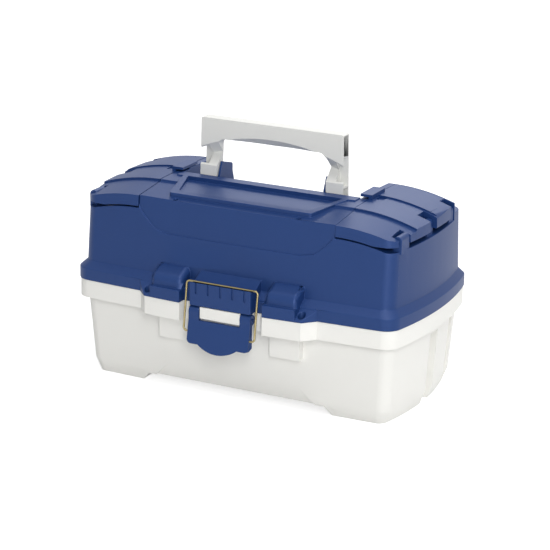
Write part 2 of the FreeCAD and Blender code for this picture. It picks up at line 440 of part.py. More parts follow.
def make_tub():
    shell = tapered(tub_outline(v.tub_foot_chamfer, 0), tub_outline(0, v.tub_foot_chamfer_height))
    shell = shell.fuse(tapered(tub_outline(0, v.tub_foot_chamfer_height), tub_outline(0, rim_top)))
    rim = upright(flange_outline(v.rim_inset, rim_foot), v.rim_height)
    rim = rim.fuse(bulge(v.rim_inset, rim_foot, rim_top))
    under = upright(flange_outline(v.rim_inset + v.wall, rim_foot), v.rim_height - v.wall)
    rim = rim.cut(under)
    bay = block(-v.pedestal_inner, v.pedestal_inner, front_limit, v.bay_back, rim_foot, rim_top)
    rim = rim.cut(bay)
    pedestal = block(v.pedestal_inner, v.pedestal_outer, v.pedestal_front, v.tub_front, v.pedestal_foot, rim_foot)
    latch_boss = block(-v.latch_boss_half, v.latch_boss_half, v.latch_boss_front, v.tub_front, v.latch_boss_foot,
                       v.latch_boss_top)
    shell = shell.fuse([rim, latch_boss] + both_sides(pedestal))

    # the inside, held back by a thicker middle floor, by the end grooves and by the arm bosses
    cavity = tapered(tub_outline(v.wall + v.tub_foot_chamfer, v.wall),
                     tub_outline(v.wall, v.tub_foot_chamfer_height))
    cavity = cavity.fuse(tapered(tub_outline(v.wall, v.tub_foot_chamfer_height), tub_outline(v.wall, rim_top)))
    held = [block(-v.arch_half_width - v.wall, v.arch_half_width + v.wall, v.tub_front, v.tub_rear, 0,
                  v.arch_height + v.wall), scoop(v.wall)]
    grooves = []
    for centre, width in ((v.groove_front_y, v.groove_front_width), (v.groove_rear_y, v.groove_rear_width)):
        bottom = v.tub_half_length - v.groove_depth
        groove = block(bottom, v.flange_half_length, centre - width / 2, centre + width / 2, 0, v.groove_top)
        grooves += both_sides(groove)
        backing = block(bottom - v.wall, v.flange_half_length, centre - width / 2 - v.wall,
                        centre + width / 2 + v.wall, 0, v.groove_top + v.wall)
        held += both_sides(backing)
    arm_outer_face = v.arm_inner_face + 2 * v.arm_thick + v.arm_plane_gap
    for pivot_y, face in ((v.arm_rear_y, v.arm_inner_face + v.arm_thick), (v.arm_front_y, arm_outer_face)):
        start = face + v.arm_side_gap
        held += both_sides(rod(Vector(start, pivot_y, v.arm_level), across, v.flange_half_length - start,
                               v.arm_boss_radius))
    shell = shell.cut(cavity.cut(held))
    shell = shell.cut(grooves + [scoop(0)])

    # arch between the feet, padlock holes, and the bores for the latch pin and the arm rivets
    low = v.arch_half_width
    high = v.arch_half_width - v.arch_slope
    arch = prism([Vector(-low, front_limit, 0), Vector(low, front_limit, 0), Vector(high, front_limit, v.arch_height),
                  Vector(-high, front_limit, v.arch_height)], Vector(0, v.flange_rear - 2 * front_limit, 0))
    shell = shell.cut([arch] + lug_holes(rim_foot - v.overrun, rim_top + v.overrun))
    pin_bore = rod(Vector(-v.latch_pin_half, v.latch_axis_y, v.latch_axis_z), across, 2 * v.latch_pin_half,
                   v.latch_pin_radius + v.seat_fit)
    rivet_end = v.tub_half_length + v.wall / 2
    bores = [pin_bore]
    for pivot_y in (v.arm_rear_y, v.arm_front_y):
        bores += both_sides(rod(Vector(v.arm_inner_face, pivot_y, v.arm_level), across,
                                rivet_end - v.arm_inner_face, v.arm_pin_radius + v.seat_fit))
    shell = shell.cut(bores)

    # rear hinge knuckles, two to each pin
    knuckles = []
    for side in RIGHT_AND_LEFT:
        for offset in (-1, 1):
            centre = v.hinge_x + offset * (v.hinge_lid_width + v.hinge_base_width) / 2
            low_x, high_x = hinge_side(centre, v.hinge_base_width - 2 * v.hinge_side_gap, side)
            web = block(low_x, high_x, v.hinge_y - v.hinge_radius, v.hinge_y + v.hinge_radius, v.hinge_foot, v.hinge_z)
            foot = block(low_x, high_x, v.tub_rear + v.wall, v.hinge_y, v.hinge_foot, rim_top)
            eye = rod(Vector(low_x, v.hinge_y, v.hinge_z), across, high_x - low_x, v.hinge_radius)
            knuckles.append(web.fuse([foot, eye]))
    start, length = lid_hinge_bores()
    bore = rod(Vector(start, v.hinge_y, v.hinge_z), across, length, v.hinge_pin_radius + v.seat_fit)
    shell = shell.fuse(knuckles).cut(both_sides(bore))
    return shell.removeSplitter()


def splayed(front_half, front, foot):
    """Upright block on the centre of the lid whose ends spread towards the rear, its front corners rounded."""
    rear_half = front_half + v.pan_spread
    solid = prism([Vector(-front_half, front, foot), Vector(front_half, front, foot), Vector(rear_half, v.pan_rear, foot),
                   Vector(-rear_half, v.pan_rear, foot)], Vector(0, 0, v.lid_top - foot))
    return solid.makeFillet(v.platform_corner, [edge for edge in solid.Edges if is_upright(edge)
                                                and edge.CenterOfMass.y < front + v.seat_fit])


def make_lid():
    band = upright(flange_outline(0, v.flange_foot), v.flange_top - v.flange_foot)
    shelf = tapered(flange_outline(0, v.flange_top), lid_outline(0, v.lid_foot))
    nose = bulge(0, v.flange_foot, v.flange_top)
    lug_face = prism([
        Vector(v.boss_side_outer, front_limit, v.lug_face_top - v.lug_face_height),
        Vector(v.boss_side_outer, v.bulge_nose_side, v.lug_face_top - v.lug_face_height),
        Vector(v.boss_side_outer, v.bulge_side, v.lug_face_top), Vector(v.boss_side_outer, v.bulge_side, v.lid_top),
        Vector(v.boss_side_outer, front_limit, v.lid_top)], Vector(v.flange_half_length - v.boss_side_outer, 0, 0))
    nose = nose.cut(both_sides(lug_face))
    side_boss = prism([
        Vector(v.pedestal_inner, v.bulge_back, v.flange_foot),
        Vector(v.pedestal_inner, v.boss_side_front, v.flange_foot),
        Vector(v.pedestal_inner, v.boss_side_front, v.boss_side_top),
        Vector(v.pedestal_inner, v.boss_side_root_front, v.boss_side_root),
        Vector(v.pedestal_inner, v.bulge_back, v.boss_side_root)],
        Vector(v.boss_side_outer - v.pedestal_inner, 0, 0))
    corner = [edge for edge in side_boss.Edges if abs(edge.CenterOfMass.x - v.boss_side_outer) < v.seat_fit
              and edge.CenterOfMass.y < v.boss_side_root_front - v.seat_fit
              and edge.CenterOfMass.z > v.flange_foot + v.seat_fit]
    side_boss = side_boss.makeFillet(v.boss_side_round, corner)
    shell = lid_block.fuse([band, shelf, nose] + both_sides(side_boss))
    bay = block(v.catch_half, v.pedestal_inner, front_limit, v.bay_back, 0, v.lid_top)
    shell = shell.cut(both_sides(bay))

    # catch that the bail hooks over, with grooves down its front
    catch = prism([
        Vector(-v.catch_half, v.bulge_back, v.flange_foot), Vector(-v.catch_half, v.catch_front, v.flange_foot),
        Vector(-v.catch_half, v.catch_front, v.catch_top), Vector(-v.catch_half, v.catch_front + v.catch_lip, v.catch_top),
        Vector(-v.catch_half, v.catch_front + v.catch_lip, v.catch_seat),
        Vector(-v.catch_half, v.catch_seat_rear, v.catch_seat),
        Vector(-v.catch_half, v.catch_root_front, v.catch_root), Vector(-v.catch_half, v.bulge_back, v.catch_root)],
        Vector(2 * v.catch_half, 0, 0))
    flutes = []
    for number in (-2, -1, 0, 1, 2):
        x = number * v.catch_groove_pitch
        flutes.append(block(x - v.catch_groove / 2, x + v.catch_groove / 2, front_limit,
                            v.catch_front + v.catch_groove_depth, v.catch_groove_foot, v.lid_top))
    nose_clear = block(-v.catch_half, v.catch_half, front_limit, v.catch_front, v.flange_foot, v.lid_top)
    shell = shell.cut(nose_clear).fuse(catch.cut(flutes))

    # centre platform with its pan, the crest before the handle, and the sunk panel on the front
    ramp = prism([
        Vector(-v.pocket_half_width, v.pan_front, v.ceiling), Vector(-v.pocket_half_width, v.pan_front, v.platform_top),
        Vector(-v.pocket_half_width, v.pan_rear, v.crest_top), Vector(-v.pocket_half_width, v.pan_rear, v.ceiling)],
        Vector(2 * v.pocket_half_width, 0, 0))
    platform = ramp.common(splayed(v.pan_half_width, v.pan_front, v.ceiling))
    crest = block(-v.pocket_half_width, v.pocket_half_width, v.pan_rear, v.pocket_front, v.ceiling, v.crest_top)
    pan = splayed(v.pan_half_width - v.pan_end_rim, v.pan_front + v.pan_front_rim, v.pan_floor)
    shell = shell.fuse([platform, crest]).cut(pan)
    shell = shell.cut(both_sides(rod(Vector(v.dimple_x, v.dimple_y, v.terrace_edge_z - v.dimple_depth), upward,
                                     v.overrun, v.dimple_radius)))
    panel_shares = ((0.665, 0.0), (0.81, 0.085), (0.915, 0.345), (0.972, 0.53), (0.995, 0.69), (0.995, 1.0))
    right_side = [(v.crown_start * wide, v.panel_foot + v.panel_height * high) for wide, high in panel_shares]
    around = right_side + [(-x, z) for x, z in reversed(right_side)]
    panel = prism([Vector(x, front_limit, z) for x, z in around], Vector(0, -front_limit, 0))
    walls = tapered(lid_outline(0, v.lid_foot), lid_outline(0, v.lid_top))
    shell = shell.cut(panel.cut(walls.translated(Vector(0, v.panel_depth, 0))))

    # spaces for the doors, the handle and the bins
    door_space = deck_profile(v.door_space_inner, v.deck, v.ledge, front_limit, v.door_space_rear)
    shell = shell.cut(both_sides(door_space))
    bin_hole = block(v.bin_inner, v.bin_outer, v.bin_front, v.bin_rear, v.bin_floor, v.lid_top)
    bin_hole = bin_hole.makeFillet(v.bin_round, [edge for edge in bin_hole.Edges if is_upright(edge)])
    pocket = block(-v.pocket_half_width, v.pocket_half_width, v.pocket_front, v.lid_rear + v.overrun, v.pocket_floor,
                   v.lid_top + v.overrun)
    shell = shell.cut([pocket] + both_sides(bin_hole))

    # the inside, held back round the bins, the handle pocket and the door decks
    cavity = upright(lid_outline(v.wall, v.lid_foot), v.lid_foot - v.flange_foot + v.overrun)
    cavity.translate(Vector(0, 0, v.flange_foot - v.lid_foot - v.overrun))
    cavity = cavity.fuse(tapered(lid_outline(v.wall, v.lid_foot), lid_outline(v.wall, v.lid_top)))
    high_ceiling = crowned(v.ceiling, v.terrace_edge_y, v.roof_fall_y, 0)
    low_ceiling = block(-v.flange_half_length, v.flange_half_length, v.terrace_edge_y, v.flange_rear, rim_foot,
                        v.rear_deck - v.wall)
    cavity = cavity.common(high_ceiling.fuse(low_ceiling))
    bin_block = block(v.bin_inner - v.bin_wall, v.bin_outer + v.bin_wall, v.bin_front - v.bin_wall,
                      v.bin_rear + v.bin_wall, v.bin_floor - v.bin_wall, v.lid_top)
    deck_block = deck_profile(v.door_space_inner - v.wall, v.deck - v.wall, v.ledge - v.wall, front_limit,
                              v.door_space_rear + v.wall)
    pocket_block = block(-v.bin_inner, v.bin_inner, v.pocket_front - v.wall, v.lid_rear, v.pocket_floor - v.wall,
                         v.lid_top)
    held = [pocket_block] + both_sides(bin_block) + both_sides(deck_block)
    shell = shell.cut(cavity.cut(held))

    # lugs that lead the trays up, lid hinge knuckles and door hinge knuckles
    link_y = v.hinge_y - v.arm_length
    link = block(v.link_inner, v.lid_half_length - v.wall / 2, link_y - v.link_half, link_y + v.link_half,
                 v.flange_foot, v.hinge_z + v.link_half)
    additions = both_sides(link)
    for side in RIGHT_AND_LEFT:
        low_x, high_x = hinge_side(v.hinge_x, v.hinge_lid_width - 2 * v.hinge_side_gap, side)
        eye = rod(Vector(low_x, v.hinge_y, v.hinge_z), across, high_x - low_x, v.hinge_radius)
        web = block(low_x, high_x, v.lid_rear, v.hinge_y, v.hinge_z - v.hinge_web, v.hinge_z + v.hinge_web)
        additions += [eye, web]
    for front, rear in door_knuckles:
        eye = rod(Vector(v.door_axis_x, front, v.door_axis_z), depthwise, rear - front, v.knuckle_radius)
        stem = block(v.door_axis_x - v.knuckle_radius, v.door_axis_x + v.knuckle_radius, front, rear,
                     v.ledge - v.wall, v.door_axis_z)
        additions += both_sides(eye) + both_sides(stem)
    floor = v.pocket_floor - v.wall / 2
    front = v.handle_axis_y - v.handle_lug_reach
    back = v.handle_axis_y + v.handle_lug_back
    top = v.handle_axis_z + v.handle_lug_height
    shoulder = v.handle_axis_z + v.handle_lug_shoulder
    handle_lug = prism([
        Vector(v.handle_lug_inner, front, floor), Vector(v.handle_lug_inner, front, shoulder),
        Vector(v.handle_lug_inner, v.handle_axis_y, top),
        Vector(v.handle_lug_inner, back - v.handle_lug_chamfer, top - v.handle_lug_fall),
        Vector(v.handle_lug_inner, back, top - v.handle_lug_fall - v.handle_lug_chamfer),
        Vector(v.handle_lug_inner, back, shoulder),
        Vector(v.handle_lug_inner, back + v.handle_lug_heel, v.handle_axis_z),
        Vector(v.handle_lug_inner, back + v.handle_lug_heel, floor)], Vector(v.handle_lug_thick, 0, 0))
    additions += both_sides(handle_lug)
    shell = shell.fuse(additions)
    start, length = lid_hinge_bores()
    removals = both_sides(rod(Vector(start, v.hinge_y, v.hinge_z), across, length, v.hinge_pin_radius + v.running_fit))
    removals += both_sides(rod(Vector(v.door_axis_x, v.knuckle_one_front + v.door_pin_setback, v.door_axis_z), depthwise,
                               v.knuckle_three_rear - v.knuckle_one_front - 2 * v.door_pin_setback,
                               v.door_pin_radius + v.seat_fit))
    removals += both_sides(rod(Vector(v.handle_pin_inner, v.handle_axis_y, v.handle_axis_z), across,
                               v.handle_inner_foot - v.handle_pin_inner, v.handle_pin_radius + v.seat_fit))
    removals += both_sides(rod(Vector(v.arm_inner_face, link_y, v.hinge_z), across,
                               v.link_pin_end - v.arm_inner_face + v.link_slack, v.arm_pin_radius + v.link_slack))
    removals += lug_holes(v.flange_foot - v.overrun, v.flange_top + v.overrun)
    return shell.cut(removals).removeSplitter()


def is_upright(edge):
    box = edge.BoundBox
    return box.XLength < v.seat_fit and box.YLength < v.seat_fit


def make_door():
    """Right-hand bin door: a hollow cover that carries on the lid's terraces, hinged at its outer end."""
    foot = deck_profile(v.door_space_inner + v.door_gap, v.deck + v.door_lift, v.door_end_foot, front_limit,
                        v.door_space_rear - v.door_gap)
    door = lid_block.common(foot)
    hollow = lid_roof.translated(Vector(0, 0, -v.door_skin)).common(
        block(v.door_space_inner + v.door_gap + v.door_skirt, v.bin_outer, v.bin_front, v.bin_rear, v.ledge,
              v.lid_top))
    door = door.cut(hollow)
    # the outer end is rounded about the hinge so that it clears the ledge as the door turns
    beyond = block(v.door_axis_x, v.lid_half_length + v.overrun, front_limit, v.door_space_rear, v.ledge, v.lid_top)
    turned = rod(Vector(v.door_axis_x, front_limit, v.door_axis_z), depthwise, v.door_space_rear - front_limit,
                 v.door_end_reach)
    door = door.cut(beyond.cut(turned))
    notches = []
    for front, rear in door_knuckles:
        notches.append(block(v.door_axis_x - v.notch_reach, v.lid_half_length + v.overrun, front - v.knuckle_gap,
                             rear + v.knuckle_gap, v.ledge, v.lid_top + v.overrun))
    notches.append(block(v.door_axis_x - v.notch_reach, v.lid_half_length + v.overrun, v.knuckle_three_rear,
                         v.door_space_rear, v.ledge, v.lid_top + v.overrun))
    notches.append(rod(Vector(v.door_axis_x, v.knuckle_one_front, v.door_axis_z), depthwise,
                       v.knuckle_three_rear - v.knuckle_one_front, v.door_pin_radius + v.running_fit))
    notches.append(block(v.finger_inner, v.finger_inner + v.finger_width, v.finger_front,
                         v.finger_front + v.finger_length, v.terrace_two_z - v.finger_depth, v.lid_top))
    tab = block(v.pocket_half_width, v.tab_root, v.pocket_front, v.tab_rear, v.tab_foot, v.tab_top)
    root = block(v.door_space_inner + v.door_gap, v.tab_root, v.pocket_front, v.tab_rear,
                 v.terrace_two_front_z - v.door_skin, v.tab_top)
    return door.cut(notches).fuse([tab, root]).removeSplitter()


def make_bail():
    """One bent wire: two hooked feet, two legs and the bar that lies on the catch."""
    foot = Vector(0, v.bail_foot_y, v.bail_foot_z)
    bar = Vector(0, v.bail_bar_y, v.bail_bar_z)
    rise = (bar - foot).normalize()
    hook = across * v.bail_hook_inner
    turn = across * v.bail_half
    bend = across * v.bail_bend_radius
    lift = rise * v.bail_bend_radius
    share = 1 - math.sqrt(0.5)
    edges = [Part.makeLine(foot + hook, foot + turn - bend)]
    edges.append(Part.Arc(foot + turn - bend, foot + turn - bend * share + lift * share, foot + turn + lift).toShape())
    edges.append(Part.makeLine(foot + turn + lift, bar + turn - lift))
    edges.append(Part.Arc(bar + turn - lift, bar + turn - bend * share - lift * share, bar + turn - bend).toShape())
    edges.append(Part.makeLine(bar + turn - bend, bar - turn + bend))
    edges.append(Part.Arc(bar - turn + bend, bar - turn + bend * share - lift * share, bar - turn - lift).toShape())
    edges.append(Part.makeLine(bar - turn - lift, foot - turn + lift))
    edges.append(Part.Arc(foot - turn + lift, foot - turn + bend * share + lift * share, foot - turn + bend).toShape())
    edges.append(Part.makeLine(foot - turn + bend, foot - hook))
    section = Part.Wire([Part.makeCircle(v.bail_wire_radius, foot + hook, across)])
    return Part.Wire(edges).makePipeShell([section], True, False)


# Features of the document, bound to the sheet's cells


def bind(piece, sizes):
    for name, expression in sizes.items():
        piece.setExpression(name, expression)


def sized_block(name, corner, size):
    """Part::Box from its low corner and its size, three expressions each."""
    piece = doc.addObject("Part::Box", name)
    bind(piece, dict(zip(("Placement.Base.x", "Placement.Base.y", "Placement.Base.z"), corner)))
    bind(piece, dict(zip(("Length", "Width", "Height"), size)))
    return piece


def sized_rod(name, start, length, radius):
    """Part::Cylinder along x from its start point."""
    piece = doc.addObject("Part::Cylinder", name)
    piece.Placement = Placement(origin, Rotation(upward, across))
    bind(piece, dict(zip(("Placement.Base.x", "Placement.Base.y", "Placement.Base.z"), start)))
    bind(piece, {"Height": length, "Radius": radius})
    return piece


def fused(name, pieces):
    piece = doc.addObject("Part::MultiFuse", name)
    piece.Shapes = pieces
    return piece


def cut(name, base, tool):
    piece = doc.addObject("Part::Cut", name)
    piece.Base = base
    piece.Tool = tool
    return piece


def together(name, pieces):
    piece = doc.addObject("Part::Compound", name)
    piece.Links = pieces
    return piece


def outline_sketch(body, name, role, offset, loops):
    """Closed straight-sided loops on one of the body's own planes, every corner bound by two expressions."""
    sketch = body.newObject("Sketcher::SketchObject", name)
    plane = [feature for feature in body.Origin.OriginFeatures if feature.Role == role][0]
    sketch.AttachmentSupport = (plane, "")
    sketch.MapMode = "FlatFace"
    sketch.setExpression(".AttachmentOffset.Base.z", offset)
    first = 0
    for loop in loops:
        corners = [(float(sheet.evalExpression(wide)), float(sheet.evalExpression(high))) for wide, high in loop]
        count = len(loop)
        for number in range(count):
            start = corners[number]
            end = corners[(number + 1) % count]
            sketch.addGeometry(Part.LineSegment(Vector(start[0], start[1], 0), Vector(end[0], end[1], 0)), False)
        for number in range(count):
            following = first + (number + 1) % count
            sketch.addConstraint(Sketcher.Constraint("Coincident", first + number, 2, following, 1))
        for number in range(count):
            for kind, value, expression in (("DistanceX", corners[number][0], loop[number][0]),
                                            ("DistanceY", corners[number][1], loop[number][1])):
                place = sketch.addConstraint(Sketcher.Constraint(kind, -1, 1, first + number, 1, value))
                sketch.setExpression("Constraints[%d]" % place, expression)
        first += count
    return sketch


def pad(body, name, role, offset, loops, length, midplane=False):
    sketch = outline_sketch(body, name + "_outline", role, offset, loops)
    feature = body.newObject("PartDesign::Pad", name)
    feature.Profile = sketch
    if midplane:
        feature.SideType = "Symmetric"
    feature.setExpression("Length", length)
    return feature


def rectangle(low_wide, high_wide, low_high, high_high):
    return [(low_wide, low_high), (high_wide, low_high), (high_wide, high_high), (low_wide, high_high)]


def make_scallop():
    """Round tool that hollows the front lower edge of the grip to a long lens."""
    piece = doc.addObject("Part::Cylinder", "grip_scallop")
    piece.Placement = Placement(origin, Rotation(upward, Vector(0, v.slant_share, -v.slant_share)))
    reach = "(sizes.scallop_radius - sizes.scallop_depth)"
    bind(piece, {
        "Placement.Base.y": "sizes.handle_axis_y - sizes.handle_half_thick - sizes.slant_share * (%s + "
                            "sizes.scallop_length / 2)" % reach,
        "Placement.Base.z": "sizes.grip_underside - sizes.slant_share * (%s - sizes.scallop_length / 2)" % reach,
        "Height": "sizes.scallop_length", "Radius": "sizes.scallop_radius"})
    return piece


def make_handle():
    """U-shaped carrying handle: channelled legs, a grip with a scalloped front, and a rounded foot on each pivot."""
    body = doc.addObject("PartDesign::Body", "handle_frame")
    axis_z = "sizes.handle_axis_z"
    outline = [
        ("-sizes.handle_foot_half", axis_z), ("-sizes.handle_inner_foot", axis_z),
        ("-sizes.handle_inner_half", "sizes.grip_underside"), ("0", "sizes.grip_underside - sizes.grip_bow"),
        ("sizes.handle_inner_half", "sizes.grip_underside"),
        ("sizes.handle_inner_foot", axis_z), ("sizes.handle_foot_half", axis_z),
        ("sizes.handle_top_half", "sizes.handle_top"), ("-sizes.handle_top_half", "sizes.handle_top")]
    pad(body, "handle_bow", "XZ_Plane", "-sizes.handle_axis_y", [outline], "2 * sizes.handle_half_thick", True)
    doc.recompute()
    names = []
    for number, edge in enumerate(body.Shape.Edges, start=1):
        middle = edge.CenterOfMass
        crosswise = edge.BoundBox.XLength < v.seat_fit and edge.BoundBox.ZLength < v.seat_fit
        if crosswise and abs(abs(middle.x) - v.handle_inner_half) < v.seat_fit and middle.z > v.handle_axis_z + v.wall:
            names.append("Edge%d" % number)
    bow = body.Tip
    inner = body.newObject("PartDesign::Fillet", "inner_corners")
    inner.Base = (bow, names)
    inner.setExpression("Radius", "sizes.handle_inner_round")
    doc.recompute()
    names = []
    for number, edge in enumerate(body.Shape.Edges, start=1):
        middle = edge.CenterOfMass
        crosswise = edge.BoundBox.XLength < v.seat_fit and edge.BoundBox.ZLength < v.seat_fit
        if crosswise and abs(middle.z - v.handle_top) < v.seat_fit:
            names.append("Edge%d" % number)
    outer = body.newObject("PartDesign::Fillet", "outer_corners")
    outer.Base = (inner, names)
    outer.setExpression("Radius", "sizes.handle_outer_round")
    doc.recompute()

    feet = []
    removed = [make_scallop()]
    for side, name in ((1, "right"), (-1, "left")):
        start = "sizes.handle_inner_foot" if side > 0 else "-sizes.handle_foot_half"
        feet.append(sized_rod("handle_foot_" + name, (start, "sizes.handle_axis_y", axis_z),
                              "sizes.handle_foot_half - sizes.handle_inner_foot", "sizes.handle_half_thick"))
        removed.append(sized_rod("handle_bore_" + name, (
            "sizes.handle_inner_half" if side > 0 else "-sizes.handle_pin_outer", "sizes.handle_axis_y", axis_z),
            "sizes.handle_pin_outer - sizes.handle_inner_half", "sizes.handle_pin_radius + sizes.running_fit"))
        spans = (("foot", "sizes.channel_foot", "sizes.channel_rib_low"),
                 ("middle", "sizes.channel_rib_low + sizes.channel_rib", "sizes.channel_rib_high"),
                 ("top", "sizes.channel_rib_high + sizes.channel_rib", "sizes.channel_top"))
        for span, low, high in spans:
            x = "sizes.handle_foot_half - sizes.channel_depth" if side > 0 else "-sizes.handle_foot_half"
            removed.append(sized_block(
                "handle_channel_%s_%s" % (span, name), (x, "sizes.handle_axis_y - sizes.channel_half", low),
                ("sizes.channel_depth", "2 * sizes.channel_half", "%s - (%s)" % (high, low))))
    solid = fused("handle_solid", [body] + feet)
    return cut("handle_cut", solid, together("handle_removed", removed))


def make_lever():
    """Latch lever: a sloping plate with a pull tongue, side cheeks, and ears on the pivot pin."""
    body = doc.addObject("PartDesign::Body", "lever_plate")
    thick = "sizes.lever_thick"
    plate = [("sizes.lever_foot_y", "sizes.lever_foot"), ("sizes.lever_foot_y + " + thick, "sizes.lever_foot"),
             ("sizes.lever_top_y + " + thick, "sizes.lever_window_foot"), ("sizes.lever_top_y", "sizes.lever_window_foot")]
    pad(body, "plate", "YZ_Plane", "0", [plate], "2 * sizes.lever_half", True)
    tongue_body = doc.addObject("PartDesign::Body", "lever_tongue")
    tongue = [("sizes.tongue_tip_y", "sizes.tongue_tip"), ("sizes.tongue_tip_y + " + thick, "sizes.tongue_tip"),
              ("sizes.lever_foot_y + " + thick, "sizes.lever_foot + sizes.seat_fit"),
              ("sizes.lever_foot_y", "sizes.lever_foot + sizes.seat_fit")]
    pad(tongue_body, "tongue", "YZ_Plane", "0", [tongue], "2 * sizes.tongue_half", True)
    disc = doc.addObject("Part::Cylinder", "tongue_disc")
    disc.Placement = Placement(origin, Rotation(upward, depthwise))
    bind(disc, {"Placement.Base.y": "sizes.tongue_tip_y - sizes.lever_thick",
                "Placement.Base.z": "sizes.tongue_tip + sizes.tongue_radius",
                "Height": "3 * sizes.lever_thick", "Radius": "sizes.tongue_radius"})
    rounded = doc.addObject("Part::MultiCommon", "rounded_tongue")
    rounded.Shapes = [tongue_body, disc]
    cheek = [("sizes.lever_foot_y", "sizes.lever_foot"), ("sizes.lever_side_back", "sizes.lever_foot + sizes.lever_side"),
             ("sizes.lever_side_back", "sizes.latch_axis_z"),
             ("sizes.latch_axis_y - sizes.latch_ear_radius", "sizes.latch_axis_z"),
             ("sizes.lever_top_y", "sizes.lever_window_foot")]
    ear = [("sizes.lever_top_y", "sizes.lever_window_foot"), ("sizes.lever_side_back", "sizes.lever_window_foot"),
           ("sizes.lever_side_back", "sizes.latch_axis_z"),
           ("sizes.latch_axis_y - sizes.latch_ear_radius", "sizes.latch_axis_z")]
    for side, name in ((1, "right"), (-1, "left")):
        start = "sizes.lever_half - sizes.lever_side" if side > 0 else "-sizes.lever_half"
        pad(body, "cheek_" + name, "YZ_Plane", start, [cheek], "sizes.lever_side")
        start = "sizes.lever_window_half" if side > 0 else "-sizes.lever_half"
        pad(body, "ear_" + name, "YZ_Plane", start, [ear], "sizes.lever_half - sizes.lever_window_half")
    axis = ("sizes.latch_axis_y", "sizes.latch_axis_z")
    eyes = []
    bores = [sized_rod("lever_bore", ("-sizes.lever_half",) + axis, "2 * sizes.lever_half",
                       "sizes.latch_pin_radius + sizes.running_fit")]
    for side, name in ((1, "right"), (-1, "left")):
        start = "sizes.lever_window_half" if side > 0 else "-sizes.lever_half"
        eyes.append(sized_rod("lever_eye_" + name, (start,) + axis, "sizes.lever_half - sizes.lever_window_half",
                              "sizes.latch_ear_radius"))
        start = "sizes.bail_hook_inner - sizes.running_fit" if side > 0 else "-sizes.lever_half"
        bores.append(sized_rod("bail_bore_" + name, (start, "sizes.bail_foot_y", "sizes.bail_foot_z"),
                               "sizes.lever_half - sizes.bail_hook_inner + sizes.running_fit",
                               "sizes.bail_wire_radius + sizes.running_fit"))
    return cut("lever_cut", fused("lever_solid", [body, rounded] + eyes), together("lever_removed", bores))


def make_tray(name, half, foot, pivots, ear_foot, ear_top):
    """Open tray with a front row of small compartments and a rear row of long ones; ears at its ends
    carry the rivets that the arms turn on."""
    body = doc.addObject("PartDesign::Body", name + "_shell")
    wall = "sizes.tray_wall"
    pad(body, name + "_block", "XY_Plane", foot, [rectangle("-" + half, half, "sizes.tray_front", "sizes.tray_rear")],
        "sizes.tray_height")
    rows = [("sizes.tray_front + " + wall, "sizes.tray_aisle - %s / 2" % wall),
            ("sizes.tray_aisle + %s / 2" % wall, "sizes.tray_rear - " + wall)]
    holes = [rectangle("-%s + %s" % (half, wall), "%s - %s" % (half, wall), low, high) for low, high in rows]
    sketch = outline_sketch(body, name + "_wells_outline", "XY_Plane", foot + " + sizes.tray_height", holes)
    wells = body.newObject("PartDesign::Pocket", name + "_wells")
    wells.Profile = sketch
    wells.setExpression("Length", "sizes.tray_height - sizes.tray_floor")
    doc.recompute()
    ears = []
    for side, side_name in ((1, "right"), (-1, "left")):
        for number, pivot in enumerate(pivots):
            x = half if side > 0 else "-sizes.ear_outer"
            ears.append(sized_block("%s_ear_%s_%d" % (name, side_name, number), (x, pivot + " - sizes.ear_half", ear_foot),
                                    ("sizes.ear_outer - " + half, "2 * sizes.ear_half", "%s - (%s)" % (ear_top, ear_foot))))
    return fused(name + "_solid", [body] + ears)


def make_dividers(name, foot, counts):
    """Plates that stand across a tray's rows and part its compartments."""
    plates = []
    gap = "sizes.divider_gap"
    wall = "sizes.tray_wall"
    rows = [("sizes.tray_front + %s + %s" % (wall, gap), "sizes.tray_aisle - %s / 2 - %s" % (wall, gap), counts[0]),
            ("sizes.tray_aisle + %s / 2 + %s" % (wall, gap), "sizes.tray_rear - %s - %s" % (wall, gap), counts[1])]
    for row, (low, high, count) in enumerate(rows):
        for number in range(1, count):
            x = "sizes.tray_half_length * (%d / %d) - sizes.divider_thick / 2" % (2 * number - count, count)
            plates.append(sized_block(
                "%s_%d_%d" % (name, row, number), (x, low, foot + " + sizes.tray_floor"),
                ("sizes.divider_thick", "%s - (%s)" % (high, low),
                 "sizes.tray_height - sizes.tray_floor - sizes.divider_drop")))
    return together(name + "_plates", plates)


def make_arm(name, side, inner_face, base_y):
    """Flat tray arm with three holes: at the tub, at the lower tray and at the upper tray."""
    start = inner_face if side > 0 else "-(%s) - sizes.arm_thick" % inner_face
    level = "sizes.arm_level"
    pivots = [base_y + " - sizes.arm_length * %s" % share for share in ("0", "0.5", "1")]
    strap = sized_block(name + "_strap", (start, pivots[2], level + " - sizes.arm_half_width"),
                        ("sizes.arm_thick", "sizes.arm_length", "2 * sizes.arm_half_width"))
    ends = [sized_rod("%s_end_%d" % (name, number), (start, pivots[number], level), "sizes.arm_thick",
                      "sizes.arm_half_width") for number in (0, 2)]
    holes = [sized_rod("%s_hole_%d" % (name, number), (start, pivots[number], level), "sizes.arm_thick",
                       "sizes.arm_pin_radius + sizes.running_fit") for number in (0, 1, 2)]
    return cut(name + "_cut", fused(name + "_solid", [strap] + ends), together(name + "_holes", holes))


